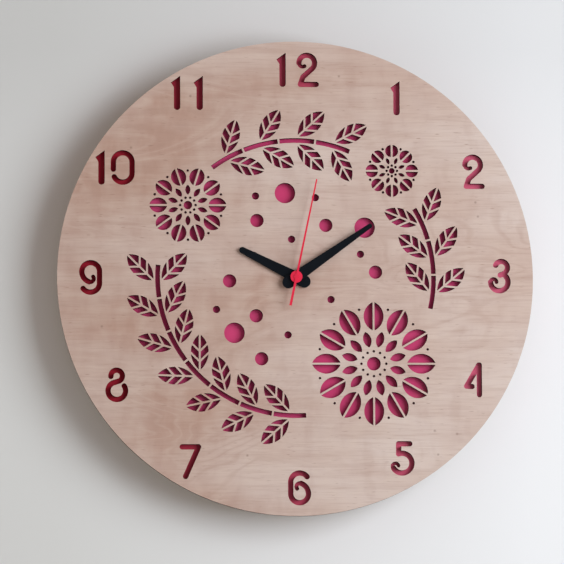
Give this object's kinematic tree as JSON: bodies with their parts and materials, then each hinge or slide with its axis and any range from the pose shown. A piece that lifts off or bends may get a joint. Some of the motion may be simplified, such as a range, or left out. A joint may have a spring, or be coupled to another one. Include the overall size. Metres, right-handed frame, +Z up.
{
  "type": "wall clock",
  "caption": "Round plywood wall clock with stencil-cut numerals and leaf ornament over a pink backing, turning hands and a quartz movement with its gear train.",
  "frame": {"origin": "on the hands' axis, at the movement's rear face, which lies on the wall", "axes": "+Z up with 12 at the top, +X to the viewer's right, +Y into the wall; the dial faces -Y"},
  "size_m": [0.3, 0.0336, 0.3],
  "materials": {
    "birch_plywood": "sanded birch plywood, clear matt, burned cut edges",
    "pink_backing": "fibreboard, front and edge painted satin pink, raw behind",
    "zinc_steel": "zinc plated",
    "black_rubber": "matt",
    "brass_bush": "turned",
    "black_case": "fine spark texture",
    "natural_plastic": "moulded acetal",
    "grey_knob": "moulded",
    "magnet": "sintered",
    "copper_wire": "enamelled copper",
    "board_green": "solder mask",
    "chip_black": "epoxy",
    "battery_jacket": "plain printed jacket",
    "black_hand": "matt black paint",
    "red_hand": "red paint"
  },
  "bodies": {
    "clock_body": {"face_panel": "birch_plywood", "backing_panel": "pink_backing", "hanger_bracket": "zinc_steel", "rubber_gasket": "black_rubber", "threaded_bush": "brass_bush", "stem_washer": "zinc_steel", "stem_nut": "brass_bush", "movement_case": "black_case", "back_cover": "black_case", "train_bridge": "natural_plastic", "stator": "zinc_steel", "coil_core": "zinc_steel", "coil_bobbin": "natural_plastic", "coil_winding": "copper_wire", "circuit_board": "board_green", "control_chip": "chip_black", "quartz_crystal": "zinc_steel", "battery": "battery_jacket", "positive_contact": "zinc_steel", "negative_contact": "zinc_steel"},
    "second_group": {"second_wheel": "natural_plastic", "second_hand": "red_hand", "second_hand_boss": "red_hand"},
    "rotor": {"rotor_pinion": "natural_plastic", "rotor_magnet": "magnet"},
    "fifth_body": {"fifth_wheel": "natural_plastic"},
    "third_body": {"third_wheel": "natural_plastic"},
    "centre_body": {"centre_wheel": "natural_plastic"},
    "minute_group": {"minute_pipe": "brass_bush", "minute_hand": "black_hand"},
    "minute_wheel_body": {"minute_wheel": "natural_plastic"},
    "hour_group": {"hour_wheel": "natural_plastic", "hour_hand": "black_hand"},
    "setting_body": {"setting_knob": "grey_knob"}
  },
  "joints": [
    {"name": "second_spin", "type": "hinge", "parent": "clock_body", "child": "second_group", "pos_m": [0, 0, 0], "axis": [0, 1, 0], "continuous": true},
    {"name": "rotor_spin", "type": "hinge", "parent": "clock_body", "child": "rotor", "pos_m": [-0.00454, 0, 0.01361], "axis": [0, 1, 0], "continuous": true},
    {"name": "fifth_wheel_spin", "type": "hinge", "parent": "clock_body", "child": "fifth_body", "pos_m": [-0.00146, 0, 0.00827], "axis": [0, 1, 0], "continuous": true},
    {"name": "third_wheel_spin", "type": "hinge", "parent": "clock_body", "child": "third_body", "pos_m": [0.00736, 0, 0.00425], "axis": [0, 1, 0], "continuous": true},
    {"name": "centre_wheel_spin", "type": "hinge", "parent": "clock_body", "child": "centre_body", "pos_m": [0, 0, 0], "axis": [0, 1, 0], "continuous": true},
    {"name": "minute_spin", "type": "hinge", "parent": "clock_body", "child": "minute_group", "pos_m": [0, 0, 0], "axis": [0, 1, 0], "continuous": true},
    {"name": "minute_wheel_spin", "type": "hinge", "parent": "clock_body", "child": "minute_wheel_body", "pos_m": [-0.0072, 0, 0], "axis": [0, 1, 0], "continuous": true},
    {"name": "hour_spin", "type": "hinge", "parent": "clock_body", "child": "hour_group", "pos_m": [0, 0, 0], "axis": [0, 1, 0], "continuous": true},
    {"name": "setting_spin", "type": "hinge", "parent": "clock_body", "child": "setting_body", "pos_m": [-0.01344, 0, 0.0036], "axis": [0, 1, 0], "continuous": true}
  ],
  "couplings": [
    {"joint": "rotor_spin", "follows": "second_spin", "ratio": 30},
    {"joint": "fifth_wheel_spin", "follows": "second_spin", "ratio": -5},
    {"joint": "third_wheel_spin", "follows": "second_spin", "ratio": -0.13333},
    {"joint": "centre_wheel_spin", "follows": "second_spin", "ratio": 0.016667},
    {"joint": "minute_wheel_spin", "follows": "minute_spin", "ratio": -0.33333},
    {"joint": "hour_spin", "follows": "minute_spin", "ratio": 0.083333},
    {"joint": "setting_spin", "follows": "minute_spin", "ratio": 1}
  ]
}
